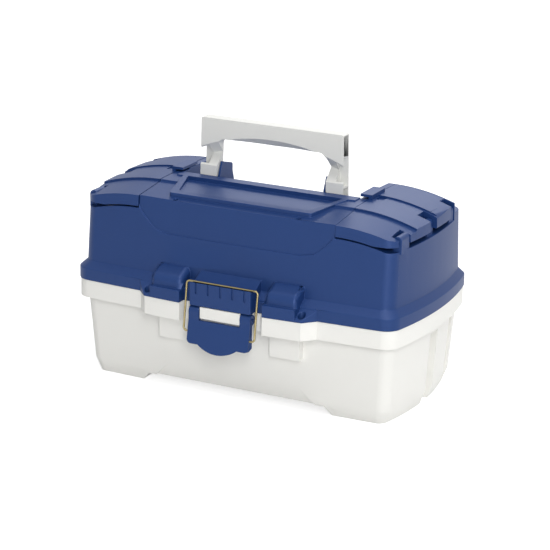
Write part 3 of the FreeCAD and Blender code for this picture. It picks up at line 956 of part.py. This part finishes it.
def make_rivets(name, spots):
    """Rivets along x. Each spot gives the rivet's near and far x, its y and z, and the x where its head starts."""
    pieces = []
    for number, (near, far, y, z, head) in enumerate(spots):
        for side, side_name in ((1, "right"), (-1, "left")):
            label = "%s_%s_%d" % (name, side_name, number)
            start = near if side > 0 else "-(%s)" % far
            shank = sized_rod(label + "_shank", (start, y, z), "%s - (%s)" % (far, near), "sizes.arm_pin_radius")
            start = head if side > 0 else "-(%s) - sizes.rivet_head" % head
            cap = sized_rod(label + "_head", (start, y, z), "sizes.rivet_head", "sizes.rivet_head_radius")
            pieces.append(fused(label, [shank, cap]))
    return together(name + "_group", pieces)


keep("tub", make_tub())
keep("lid", make_lid())
right_door = make_door()
keep("bin_door_right", right_door)
keep("bin_door_left", mirrored(right_door))
keep("latch_bail", make_bail())

keep_object(make_handle(), "carry_handle")
keep_object(make_lever(), "latch_lever")

inner_plane = "sizes.arm_inner_face"
outer_plane = "sizes.arm_inner_face + sizes.arm_thick + sizes.arm_plane_gap"
LOWER_FOOT = "sizes.lower_tray_foot"
UPPER_FOOT = "sizes.upper_tray_foot"
lower_pivots = ["sizes.arm_rear_y - sizes.arm_length / 2", "sizes.arm_front_y - sizes.arm_length / 2"]
upper_pivots = ["sizes.arm_rear_y - sizes.arm_length", "sizes.arm_front_y - sizes.arm_length"]
keep_object(make_tray("lower", "(sizes.tray_half_length - sizes.tray_side_gap)", LOWER_FOOT, lower_pivots,
                      "sizes.lower_ear_foot", "sizes.lower_ear_top"), "lower_tray")
keep_object(make_tray("upper", "sizes.tray_half_length", UPPER_FOOT, upper_pivots,
                      "sizes.upper_ear_foot", "sizes.upper_ear_top"), "upper_tray")
keep_object(make_dividers("lower_divider", LOWER_FOOT, (6, 3)), "lower_tray_dividers")
keep_object(make_dividers("upper_divider", UPPER_FOOT, (8, 4)), "upper_tray_dividers")
for side, name in ((1, "right"), (-1, "left")):
    keep_object(make_arm("rear_arm_" + name, side, inner_plane, "sizes.arm_rear_y"), "rear_tray_arm_" + name)
    keep_object(make_arm("front_arm_" + name, side, outer_plane, "sizes.arm_front_y"), "front_tray_arm_" + name)

# Rivets: the tub's go through an arm into a boss, the trays' stand out of an ear through an arm
level = "sizes.arm_level"
gap = "sizes.arm_side_gap"
tub_end = "sizes.tub_half_length"
beyond_inner = "sizes.arm_inner_face + sizes.arm_thick"
beyond_outer = outer_plane + " + sizes.arm_thick"
keep_object(make_rivets("tub_rivet", [
    ("sizes.arm_inner_face - %s / 2 - sizes.rivet_head / 2" % gap, tub_end, "sizes.arm_rear_y", level,
     "sizes.arm_inner_face - %s / 2 - sizes.rivet_head" % gap),
    (outer_plane + " - %s / 2 - sizes.rivet_head / 2" % gap, tub_end, "sizes.arm_front_y", level,
     outer_plane + " - %s / 2 - sizes.rivet_head" % gap)]), "tub_arm_rivets")
for name, label, pivots in (("lower_rivet", "lower_tray_rivets", lower_pivots),
                            ("upper_rivet", "upper_tray_rivets", upper_pivots)):
    keep_object(make_rivets(name, [
        ("sizes.ear_outer", beyond_inner + " + %s / 2" % gap, pivots[0], level, beyond_inner + " + %s / 5" % gap),
        ("sizes.ear_outer", beyond_outer + " + %s / 2" % gap, pivots[1], level, beyond_outer + " + %s / 5" % gap)]),
        label)

# Straight pins
link_y = "sizes.hinge_y - sizes.arm_length"
half_run = "sizes.hinge_lid_width / 2 + sizes.hinge_base_width"
pins = {
    "lid_hinge_pins": ("sizes.hinge_x - (%s)" % half_run, "sizes.hinge_x + " + half_run, "sizes.hinge_y",
                       "sizes.hinge_z", "sizes.hinge_pin_radius"),
    "handle_pins": ("sizes.handle_pin_inner", "sizes.handle_pin_outer - sizes.running_fit", "sizes.handle_axis_y",
                    "sizes.handle_axis_z", "sizes.handle_pin_radius"),
    "tray_lead_pins": ("sizes.tray_half_length", "sizes.link_pin_end", link_y, "sizes.hinge_z",
                       "sizes.arm_pin_radius"),
}
for name, (near, far, y, z, radius) in pins.items():
    pair = [sized_rod(name + "_right", (near, y, z), "%s - (%s)" % (far, near), radius),
            sized_rod(name + "_left", ("-(%s)" % far, y, z), "%s - (%s)" % (far, near), radius)]
    keep_object(together(name + "_pair", pair), name)
keep_object(sized_rod("latch_pin_rod", ("-sizes.latch_pin_half", "sizes.latch_axis_y", "sizes.latch_axis_z"),
                      "2 * sizes.latch_pin_half", "sizes.latch_pin_radius"), "latch_pin")
nodes[-1].setExpression("Placement.Base.y", "sizes.latch_axis_y + " + SHIFT)
door_pins = []
for side in RIGHT_AND_LEFT:
    door_pins.append(rod(Vector(side * v.door_axis_x, v.knuckle_one_front + v.door_pin_setback, v.door_axis_z),
                         depthwise, v.knuckle_three_rear - v.knuckle_one_front - 2 * v.door_pin_setback,
                         v.door_pin_radius))
keep("door_hinge_pins", Part.makeCompound(door_pins))

doc.recompute()
faults = [piece.Name for piece in doc.Objects if "Invalid" in piece.State or "Error" in piece.State]
faults += [piece.Label for piece in nodes if piece.Shape.isNull() or not piece.Shape.isValid()]
if faults:
    raise RuntimeError("failed objects: " + ", ".join(faults))
for piece in nodes:
    piece.Shape.exportStep("parts/%s.step" % piece.Label)
    box = piece.Shape.optimalBoundingBox()
    print("%-24s solids %2d  volume %9.0f  x %7.1f %7.1f  y %7.1f %7.1f  z %6.1f %6.1f" % (
        piece.Label, len(piece.Shape.Solids), piece.Shape.Volume, box.XMin, box.XMax, box.YMin, box.YMax, box.ZMin,
        box.ZMax))
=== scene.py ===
import math

import bmesh
import bpy
from mathutils import Matrix, Vector


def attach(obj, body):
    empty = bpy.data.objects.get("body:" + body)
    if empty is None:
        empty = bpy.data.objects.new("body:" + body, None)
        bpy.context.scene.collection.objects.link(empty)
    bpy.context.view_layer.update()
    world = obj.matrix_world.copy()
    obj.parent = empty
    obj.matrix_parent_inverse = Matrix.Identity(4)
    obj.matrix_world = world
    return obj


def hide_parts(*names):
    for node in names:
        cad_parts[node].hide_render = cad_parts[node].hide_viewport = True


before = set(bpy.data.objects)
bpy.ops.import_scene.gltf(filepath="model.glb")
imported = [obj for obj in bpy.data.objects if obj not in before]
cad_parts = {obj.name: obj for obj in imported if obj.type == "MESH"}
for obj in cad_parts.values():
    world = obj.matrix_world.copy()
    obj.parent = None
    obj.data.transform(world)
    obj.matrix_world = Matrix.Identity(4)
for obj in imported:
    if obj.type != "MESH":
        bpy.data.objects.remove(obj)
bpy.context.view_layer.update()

# Tub: one deep injection moulding in off-white polypropylene, with a fine satin skin.
# Its rim, feet and end grooves are moulded in one shot, so every outside edge is softly rounded.
MM = 0.001
TUB_COLOUR = (0.86, 0.855, 0.82)
TUB_EDGE = 1.1 * MM
MERGE_DISTANCE = 0.002 * MM
FLAT_ANGLE = math.radians(0.6)
SHARP_ANGLE = math.radians(32)
SMOOTH_ANGLE = math.radians(38)
EDGE_STEPS = 2
DRIFT_SCALE = 9.0
DRIFT_DETAIL = 3.0
DRIFT_SHARE = 0.7
SPECKLE_SCALE = 0.4
ROUGHNESS_SPREAD = 0.1
GRAIN_DETAIL = 2.0
GRAIN_CONTRAST = 0.6
GRAIN_STRENGTH = 0.35
COAT_ROUGHNESS = 0.32
# Sockets of the Mix node when it mixes colours
MIX_SHARE, MIX_FIRST, MIX_SECOND, MIX_RESULT = 0, 6, 7, 2


class Wire:
    """A shader socket that takes Python arithmetic and adds the Math nodes for it."""

    def __init__(self, shader, socket):
        self.shader = shader
        self.socket = socket

    def maths(self, operation, *values):
        return self.shader.node("ShaderNodeMath", {"operation": operation}, values)

    def __add__(self, other):
        return self.maths("ADD", self, other)

    def __radd__(self, other):
        return self.maths("ADD", other, self)

    def __rsub__(self, other):
        return self.maths("SUBTRACT", other, self)

    def __mul__(self, other):
        return self.maths("MULTIPLY", self, other)

    def at_least(self, other):
        return self.maths("MAXIMUM", self, other)

    def clamped(self):
        held = self + 0.0
        held.socket.node.use_clamp = True
        return held

    def beside(self, output):
        """Another output of the same node."""
        return Wire(self.shader, self.socket.node.outputs[output])


class Shader:
    """The node tree of a material or of the room, ending in its surface node."""

    def __init__(self, owner, surface="Principled BSDF"):
        owner.use_nodes = True
        self.owner = owner
        self.tree = owner.node_tree
        self.surface = self.tree.nodes[surface]

    def feed(self, name, value, taker=None):
        """Links a wire, or sets a plain value, on an input of the surface node or of another one."""
        socket = (self.surface if taker is None else taker).inputs[name]
        if isinstance(value, Wire):
            self.tree.links.new(value.socket, socket)
        else:
            socket.default_value = value

    def node(self, kind, settings, values, output=0):
        made = self.tree.nodes.new(kind)
        for key, value in settings.items():
            setattr(made, key, value)
        for key, value in values.items() if isinstance(values, dict) else enumerate(values):
            self.feed(key, value, made)
        return Wire(self, made.outputs[output])

    def noise(self, scale, detail=1.0, roughness=0.5):
        place = self.node("ShaderNodeTexCoord", {}, {}, "Object")
        return self.node("ShaderNodeTexNoise", {}, {"Vector": place, "Scale": scale, "Detail": detail,
                                                    "Roughness": roughness})

    def mixed(self, share, first, second):
        return self.node("ShaderNodeMix", {"data_type": "RGBA"},
                         {MIX_SHARE: share, MIX_FIRST: first, MIX_SECOND: second}, MIX_RESULT)

    def bump(self, height, strength, distance):
        self.feed("Normal", self.node("ShaderNodeBump", {}, {"Height": height, "Strength": strength,
                                                             "Distance": distance}))

    def seen(self):
        """1 for the rays of camera, reflections and glass, and 0 for the light that falls on the object."""
        rays = self.node("ShaderNodeLightPath", {}, {}, "Is Camera Ray")
        return (rays + rays.beside("Is Glossy Ray") + rays.beside("Is Transmission Ray")).clamped()


def colour(base, shade=1):
    return (*[part * shade for part in base], 1.0)


def moulded_plastic(name, base, shade=0.96, roughness=0.4, grain=900.0, grain_depth=0.05 * MM, fleck=0.0,
                    sheen=0.0, gloss=0.4):
    """Moulded plastic: slow drift of tone from flow in the mould, and the mould's fine grain."""
    shader = Shader(bpy.data.materials.new(name))
    drift = shader.noise(DRIFT_SCALE, DRIFT_DETAIL)
    speckle = shader.noise(grain * SPECKLE_SCALE)
    share = (drift * DRIFT_SHARE + speckle * (1 - DRIFT_SHARE)).clamped()
    shader.feed("Base Color", shader.mixed(share, colour(base), colour(base, shade)))
    shader.feed("Roughness", (roughness - ROUGHNESS_SPREAD / 2) + drift * ROUGHNESS_SPREAD)
    shader.feed("Metallic", fleck)
    shader.feed("Coat Weight", sheen)
    shader.feed("Coat Roughness", COAT_ROUGHNESS)
    shader.feed("Specular IOR Level", gloss)
    shader.bump(shader.noise(grain, GRAIN_DETAIL, GRAIN_CONTRAST), GRAIN_STRENGTH, grain_depth)
    return shader.owner


def choose(piece):
    """Only this piece is selected and active."""
    bpy.ops.object.select_all(action="DESELECT")
    piece.select_set(True)
    bpy.context.view_layer.objects.active = piece


def applied(piece, kind, **settings):
    """Adds a modifier to the piece and applies it."""
    choose(piece)
    made = piece.modifiers.new(kind.lower(), kind)
    for key, value in settings.items():
        setattr(made, key, value)
    bpy.ops.object.modifier_apply(modifier=made.name)


def smooth(piece):
    choose(piece)
    bpy.ops.object.shade_smooth_by_angle(angle=SMOOTH_ANGLE)


def open_copy(node, name):
    """A copy of the node's own solid, made of plain large faces and open in edit mode."""
    piece = bpy.data.objects.new(name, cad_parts[node].data.copy())
    bpy.context.scene.collection.objects.link(piece)
    choose(piece)
    bpy.ops.object.mode_set(mode="EDIT")
    bpy.ops.mesh.select_all(action="SELECT")
    bpy.ops.mesh.remove_doubles(threshold=MERGE_DISTANCE)
    bpy.ops.mesh.dissolve_limited(angle_limit=FLAT_ANGLE)
    bpy.ops.mesh.select_mode(type="EDGE")
    return piece


def rounded(piece, edge, clamp=True):
    """Closes the open piece and rounds its sharp edges, as a mould leaves them."""
    bpy.ops.object.mode_set(mode="OBJECT")
    applied(piece, "BEVEL", width=edge, segments=EDGE_STEPS, limit_method="ANGLE", angle_limit=SHARP_ANGLE,
            use_clamp_overlap=clamp, harden_normals=False, miter_outer="MITER_ARC")
    smooth(piece)
    applied(piece, "WEIGHTED_NORMAL", keep_sharp=True)
    return piece


def finish_piece(piece, material, body, node):
    """Gives a rounded copy its material and its body, in place of its node."""
    piece.data.materials.clear()
    piece.data.materials.append(material)
    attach(piece, body)
    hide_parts(node)


tub = rounded(open_copy("tub", "tub_shell"), TUB_EDGE)
tub_plastic = moulded_plastic("tub_plastic", TUB_COLOUR, shade=0.97, roughness=0.42)
finish_piece(tub, tub_plastic, "root", "tub")

# Lid: a second deep moulding, in blue polypropylene with a faint metallic fleck and a soft sheen.
# Bins, handle pocket, catch and hinge knuckles are all part of it, and so are two rounded lobes
# that guard the catch.
LID_COLOUR = (0.0095, 0.0365, 0.142)
LID_EDGE = 0.5 * MM
LOBE_ROUND = 6.0 * MM
LOBES = [((44.3, -98.6, 110.0), (80.0, -80.9, 129.0)), ((-80.0, -98.6, 110.0), (-44.3, -80.9, 129.0))]
SOFT_STEPS = 4


def soften(piece, low, high, width):
    """Rounds the outward edges of the open piece that lie between two corners, given in millimetres."""
    mesh = bmesh.from_edit_mesh(piece.data)
    for edge in mesh.edges:
        ends = [piece.matrix_world @ vert.co / MM for vert in edge.verts]
        inside = all(low[axis] <= end[axis] <= high[axis] for end in ends for axis in range(3))
        edge.select = inside and edge.is_convex and edge.calc_face_angle(0) > SHARP_ANGLE
    bmesh.update_edit_mesh(piece.data)
    bpy.ops.mesh.bevel(offset=width, segments=SOFT_STEPS, affect="EDGES", clamp_overlap=False)


lid = open_copy("lid", "lid_shell")
for low, high in LOBES:
    soften(lid, low, high, LOBE_ROUND)
rounded(lid, LID_EDGE, clamp=False)
lid_plastic = moulded_plastic("lid_plastic", LID_COLOUR, shade=1.2, roughness=0.5, grain=1100.0,
                              grain_depth=0.06 * MM, fleck=0.25, sheen=0.12, gloss=0.28)
finish_piece(lid, lid_plastic, "lid", "lid")

# Bin doors: a pair of mirrored covers in the lid's plastic, snapped onto pins at the ends of the lid.
# The terraces of the lid run on across them, and a small tab at the inner edge lifts each one.
DOOR_EDGE = 0.9 * MM
for side in ("right", "left"):
    door = rounded(open_copy("bin_door_" + side, "bin_cover_" + side), DOOR_EDGE)
    finish_piece(door, lid_plastic, side + "_door", "bin_door_" + side)

# Carrying handle: one light grey moulding, with channelled legs and a scalloped grip.
# Its feet turn on pins in two lugs of the lid, and it folds back into the lid's pocket.
HANDLE_COLOUR = (0.73, 0.73, 0.70)
HANDLE_EDGE = 0.6 * MM
handle = rounded(open_copy("carry_handle", "carry_grip"), HANDLE_EDGE)
handle_plastic = moulded_plastic("handle_plastic", HANDLE_COLOUR, roughness=0.45, grain=1000.0)
finish_piece(handle, handle_plastic, "handle", "carry_handle")

# Latch lever: a blue moulding with a pull tongue, its lower corners rounded for the thumb.
# It snaps over the pin on the tub and holds the ends of the wire bail.
LEVER_EDGE = 0.7 * MM
LEVER_ROUND = 4.0 * MM
LEVER_CORNERS = [((32.9, -112.0, 62.0), (33.1, -106.0, 62.6)), ((-33.1, -112.0, 62.0), (-32.9, -106.0, 62.6))]
lever = open_copy("latch_lever", "latch_pull")
for low, high in LEVER_CORNERS:
    soften(lever, low, high, LEVER_ROUND)
rounded(lever, LEVER_EDGE)
finish_piece(lever, lid_plastic, "lever", "latch_lever")

# Bail: one length of drawn wire with a brass finish, bent round the lever's sides and over the catch.
# Its hooked ends sit in the lever, so pulling the lever down draws the wire tight.
BAIL_COLOUR = (0.40, 0.33, 0.17)
BAIL_ROUGHNESS = 0.25
TARNISH_SCALE = 160.0
TARNISH_DETAIL = 3.0
TARNISH_SHADE = 0.7
TARNISH_ROUGHNESS = 0.15
DRAW_MARK_SCALE = 2600.0
DRAW_MARK_STRENGTH = 0.2
DRAW_MARK_DEPTH = 0.02 * MM


def drawn_metal(name, base, roughness):
    """Drawn wire or rod: bright metal with fine draw marks and slight tarnish."""
    shader = Shader(bpy.data.materials.new(name))
    tarnish = shader.noise(TARNISH_SCALE, TARNISH_DETAIL)
    shader.feed("Metallic", 1.0)
    shader.feed("Base Color", shader.mixed(tarnish, colour(base), colour(base, TARNISH_SHADE)))
    shader.feed("Roughness", roughness + tarnish * TARNISH_ROUGHNESS)
    shader.bump(shader.noise(DRAW_MARK_SCALE), DRAW_MARK_STRENGTH, DRAW_MARK_DEPTH)
    return shader.owner


def dress(node, material):
    """Gives a CAD node that keeps its own shape its material."""
    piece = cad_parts[node]
    piece.data.materials.clear()
    piece.data.materials.append(material)
    smooth(piece)


dress("latch_bail", drawn_metal("bail_wire", BAIL_COLOUR, BAIL_ROUGHNESS))

# Pins and rivets: plain steel wire and rod, cut to length and pressed or snapped into the plastic.
# They carry the lid, the doors, the handle, the latch and the arms of the trays.
PIN_COLOUR = (0.42, 0.42, 0.41)
PIN_ROUGHNESS = 0.3
pin_steel = drawn_metal("pin_steel", PIN_COLOUR, PIN_ROUGHNESS)
for node in ("lid_hinge_pins", "latch_pin", "tub_arm_rivets", "handle_pins", "door_hinge_pins", "lower_tray_rivets",
             "upper_tray_rivets", "tray_lead_pins"):
    dress(node, pin_steel)

# Trays, dividers and arms: pale grey mouldings that hang in the tub and rise with the lid.
# The dividers slide into the trays, and the arms are riveted to the tub and to the trays' ears.
TRAY_COLOUR = (0.66, 0.66, 0.63)
DIVIDER_COLOUR = (0.62, 0.63, 0.62)
ARM_COLOUR = (0.50, 0.50, 0.48)
TRAY_EDGE = 0.5 * MM
tray_plastic = moulded_plastic("tray_plastic", TRAY_COLOUR)
divider_plastic = moulded_plastic("divider_plastic", DIVIDER_COLOUR)
arm_plastic = moulded_plastic("arm_plastic", ARM_COLOUR, shade=0.94, roughness=0.45)
for level in ("lower", "upper"):
    tray = rounded(open_copy(level + "_tray", level + "_tray_shell"), TRAY_EDGE)
    finish_piece(tray, tray_plastic, "tray_" + level, level + "_tray")
    dress(level + "_tray_dividers", divider_plastic)
for side in ("right", "left"):
    for place in ("rear", "front"):
        dress("%s_tray_arm_%s" % (place, side), arm_plastic)

# Floor: a wide pale sheet under the cabinet, as in a small photo studio.
# It glows just enough to look white, and still takes the cabinet's shadow.
FLOOR_SIZE = 12.0
PAPER_COLOUR = (0.64, 0.64, 0.64)
PAPER_ROUGHNESS = 0.9
PAPER_GLOW = 0.68
WHITE = (1, 1, 1)
BLACK = (0, 0, 0)
bpy.ops.object.select_all(action="DESELECT")
bpy.ops.mesh.primitive_plane_add(size=FLOOR_SIZE, location=(0, 0, 0))
floor = bpy.context.object
floor.name = "studio_floor"
paper = Shader(bpy.data.materials.new("studio_paper"))
paper.feed("Base Color", colour(PAPER_COLOUR))
paper.feed("Roughness", PAPER_ROUGHNESS)
paper.feed("Specular IOR Level", 0.0)
paper.feed("Emission Color", paper.mixed(paper.seen(), colour(BLACK), colour(WHITE)))
paper.feed("Emission Strength", PAPER_GLOW)
floor.data.materials.append(paper.owner)

# Light: a pale room that is brighter behind and to the right, and white where it is seen.
# A tall soft lamp at the front right models the ends, and a broad one above and a low one
# behind bring out the sheen of the lid's top.
ROOM_LEVEL = 0.51
ROOM_SLOPE = (0.27, 0.42, 0.06)
LAMP_AIM = Vector((0, 0, 0.1))
# Name, place, width, height and power of each soft lamp
LAMPS = [("key_light", (1.15, -1.9, 0.95), 0.5, 1.5, 31.0), ("top_light", (0.3, -0.2, 2.3), 1.2, 1.2, 19.0),
         ("back_light", (-0.5, 1.9, 1.3), 1.2, 0.5, 8.5)]
world = bpy.data.worlds.new("studio_room")
bpy.context.scene.world = world
room = Shader(world, "Background")
across = room.node("ShaderNodeSeparateXYZ", {}, [room.node("ShaderNodeTexCoord", {}, {}, "Generated")])
glow = (across * ROOM_SLOPE[0] + across.beside("Y") * ROOM_SLOPE[1] + across.beside("Z") * ROOM_SLOPE[2]
        + ROOM_LEVEL)
seen = room.seen()
room.feed("Color", colour(WHITE))
room.feed("Strength", (glow * (1 - seen)).at_least(seen))
for name, place, width, height, power in LAMPS:
    lamp = bpy.data.lights.new(name, "AREA")
    lamp.shape = "RECTANGLE"
    lamp.size = width
    lamp.size_y = height
    lamp.energy = power
    holder = bpy.data.objects.new(name, lamp)
    holder.location = place
    holder.rotation_euler = (LAMP_AIM - Vector(place)).to_track_quat("-Z", "Y").to_euler()
    bpy.context.scene.collection.objects.link(holder)

# Camera: a long lens, a little above the cabinet and to its right, as fitted to the photo.
# The small shift puts the cabinet where it stands in the picture.
CAMERA_AZIMUTH = math.radians(26.91)
CAMERA_ELEVATION = math.radians(17.47)
CAMERA_ROLL = math.radians(0.83)
CAMERA_DISTANCE = 2.1557
CAMERA_AIM = Vector((-0.00701, 0.00895, 0.1035))
LENS_LENGTH = 142.29
LENS_SHIFT = (0.01393, -0.00287)
SENSOR_WIDTH = 36.0
SIGHT_LIMIT = 50.0
back = Vector((math.sin(CAMERA_AZIMUTH) * math.cos(CAMERA_ELEVATION),
               -math.cos(CAMERA_AZIMUTH) * math.cos(CAMERA_ELEVATION), math.sin(CAMERA_ELEVATION)))
level_right = Vector((math.cos(CAMERA_AZIMUTH), math.sin(CAMERA_AZIMUTH), 0))
level_up = back.cross(level_right)
right = level_right * math.cos(CAMERA_ROLL) + level_up * math.sin(CAMERA_ROLL)
up = back.cross(right)
lens = bpy.data.cameras.new("photo_camera")
lens.sensor_width = SENSOR_WIDTH
lens.lens = LENS_LENGTH
lens.shift_x, lens.shift_y = LENS_SHIFT
lens.clip_end = SIGHT_LIMIT
camera = bpy.data.objects.new("photo_camera", lens)
bpy.context.scene.collection.objects.link(camera)
turn = Matrix((right, up, back)).transposed().to_4x4()
camera.matrix_world = Matrix.Translation(CAMERA_AIM + back * CAMERA_DISTANCE) @ turn
bpy.context.scene.camera = camera
bpy.context.scene.view_settings.view_transform = "Standard"
